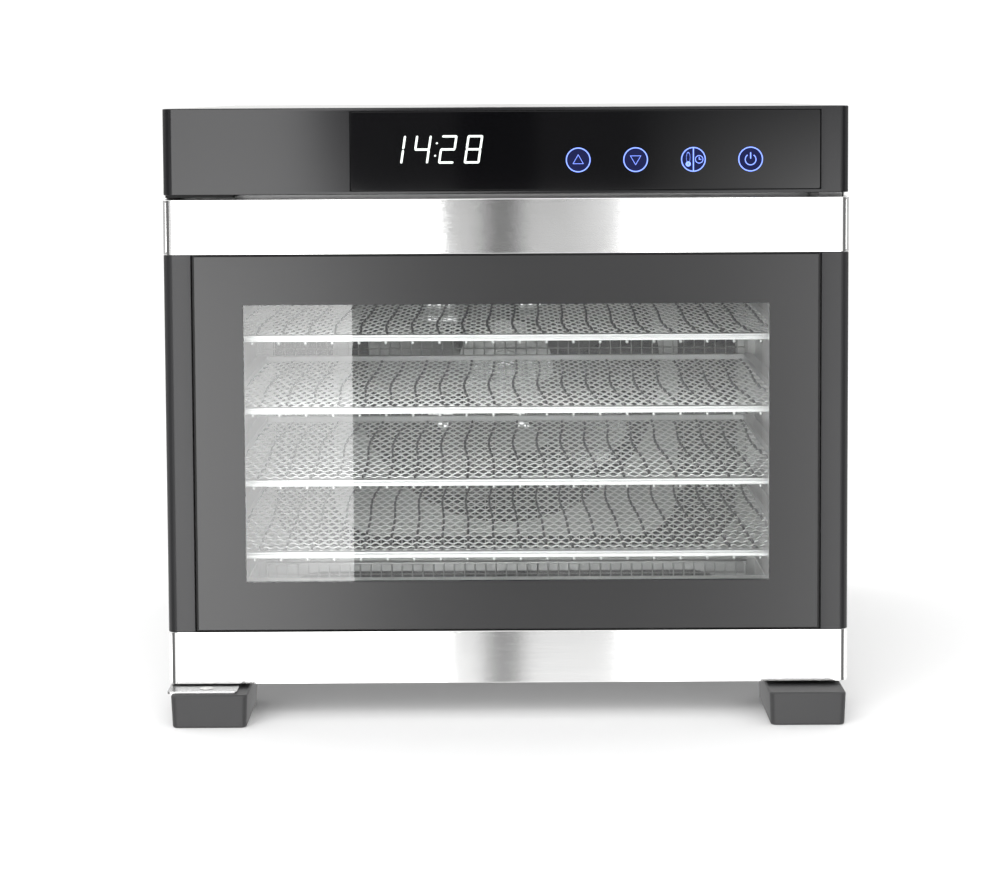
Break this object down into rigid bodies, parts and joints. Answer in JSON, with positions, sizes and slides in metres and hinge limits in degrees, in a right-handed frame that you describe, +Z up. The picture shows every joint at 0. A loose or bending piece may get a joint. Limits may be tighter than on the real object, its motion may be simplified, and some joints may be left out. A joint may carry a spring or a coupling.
{
  "type": "food dehydrator",
  "caption": "Front-loading food dehydrator: steel cabinet, side-hinged glass door, sliding wire trays, rear fan and ring heater, touch control panel.",
  "frame": {"origin": "centre of the whole object's footprint, on the floor under the feet", "axes": "+X to the right seen from the front, +Y to the back, +Z up; the door faces -Y"},
  "size_m": [0.345, 0.45, 0.31],
  "materials": {
    "shell_steel": "brushed sheet steel",
    "panel_steel": "dark satin sheet steel",
    "band_steel": "bright brushed stainless steel",
    "post_grey": "satin grey enamel",
    "clear_glass": "polished toughened glass",
    "glass_border": "dark grey enamel",
    "control_black": "gloss black glass",
    "display_black": "black display with white digits",
    "liner_steel": "plain stainless sheet",
    "plain_steel": "galvanised sheet",
    "tray_steel": "bright electropolished stainless steel",
    "guard_steel": "bright drawn wire",
    "foot_grey": "moulded dark grey plastic",
    "seal_silicone": "black silicone",
    "fan_steel": "pressed sheet steel",
    "shaft_steel": "ground steel",
    "heater_sheath": "heat-darkened heater sheath",
    "motor_dark": "black enamel",
    "board_green": "circuit board",
    "black_plastic": "moulded black plastic",
    "screw_steel": "zinc plated screws",
    "pin_brass": "plated brass"
  },
  "bodies": {
    "cabinet": {"baffle_posts": "plain_steel", "base_plate": "plain_steel", "catch_magnet": "motor_dark", "control_glass": "control_black", "control_housing": "panel_steel", "display_module": "display_black", "door_stop": "black_plastic", "fan_baffle": "liner_steel", "fan_guard": "guard_steel", "fan_motor": "motor_dark", "fan_wall": "liner_steel", "foot_front_left": "foot_grey", "foot_front_right": "foot_grey", "foot_rear_left": "foot_grey", "foot_rear_right": "foot_grey", "front_frame": "liner_steel", "heater": "heater_sheath", "hinge_pin_lower": "shaft_steel", "hinge_pin_upper": "shaft_steel", "hinge_plate_lower": "plain_steel", "hinge_plate_upper": "plain_steel", "inlet_pins": "pin_brass", "liner_floor": "liner_steel", "liner_left": "liner_steel", "liner_right": "liner_steel", "liner_roof": "liner_steel", "motor_bracket": "plain_steel", "motor_cover": "shell_steel", "outer_shell": "shell_steel", "power_board": "board_green", "power_inlet": "black_plastic", "rear_cover": "shell_steel", "screws": "screw_steel", "temperature_probe": "shaft_steel", "thermal_cutout": "motor_dark", "touch_board": "board_green"},
    "door": {"door_band_upper": "band_steel", "door_band_lower": "band_steel", "door_post_left": "post_grey", "door_post_right": "post_grey", "door_glass": "clear_glass", "glass_surround": "glass_border", "door_inner_frame": "liner_steel", "door_seal": "seal_silicone", "catch_plate": "plain_steel", "hinge_bush_upper": "black_plastic", "hinge_bush_lower": "black_plastic"},
    "fan": {"fan_impeller": "fan_steel", "motor_shaft": "shaft_steel", "impeller_nut": "shaft_steel"},
    "tray_1": {"tray_1_frame": "tray_steel", "tray_1_wires": "tray_steel"},
    "tray_2": {"tray_2_frame": "tray_steel", "tray_2_wires": "tray_steel"},
    "tray_3": {"tray_3_frame": "tray_steel", "tray_3_wires": "tray_steel"},
    "tray_4": {"tray_4_frame": "tray_steel", "tray_4_wires": "tray_steel"},
    "tray_5": {"tray_5_frame": "tray_steel", "tray_5_wires": "tray_steel"}
  },
  "joints": [
    {"name": "door_hinge", "type": "hinge", "parent": "cabinet", "child": "door", "pos_m": [-0.1685, -0.187, 0.14], "axis": [0, 0, -1], "range_deg": [0, 110]},
    {"name": "fan_spin", "type": "hinge", "parent": "cabinet", "child": "fan", "pos_m": [0, 0.17, 0.146], "axis": [0, 1, 0], "continuous": true},
    {"name": "tray_1_slide", "type": "slide", "parent": "cabinet", "child": "tray_1", "axis": [0, -1, 0], "range_m": [0, 0.29]},
    {"name": "tray_2_slide", "type": "slide", "parent": "cabinet", "child": "tray_2", "axis": [0, -1, 0], "range_m": [0, 0.29]},
    {"name": "tray_3_slide", "type": "slide", "parent": "cabinet", "child": "tray_3", "axis": [0, -1, 0], "range_m": [0, 0.29]},
    {"name": "tray_4_slide", "type": "slide", "parent": "cabinet", "child": "tray_4", "axis": [0, -1, 0], "range_m": [0, 0.29]},
    {"name": "tray_5_slide", "type": "slide", "parent": "cabinet", "child": "tray_5", "axis": [0, -1, 0], "range_m": [0, 0.29]}
  ],
  "couplings": [
    {"joint": "tray_1_slide", "follows": "door_hinge", "m_per_rad": 0.026},
    {"joint": "tray_2_slide", "follows": "door_hinge", "m_per_rad": 0.026},
    {"joint": "tray_3_slide", "follows": "door_hinge", "m_per_rad": 0.026},
    {"joint": "tray_4_slide", "follows": "door_hinge", "m_per_rad": 0.026},
    {"joint": "tray_5_slide", "follows": "door_hinge", "m_per_rad": 0.026}
  ]
}
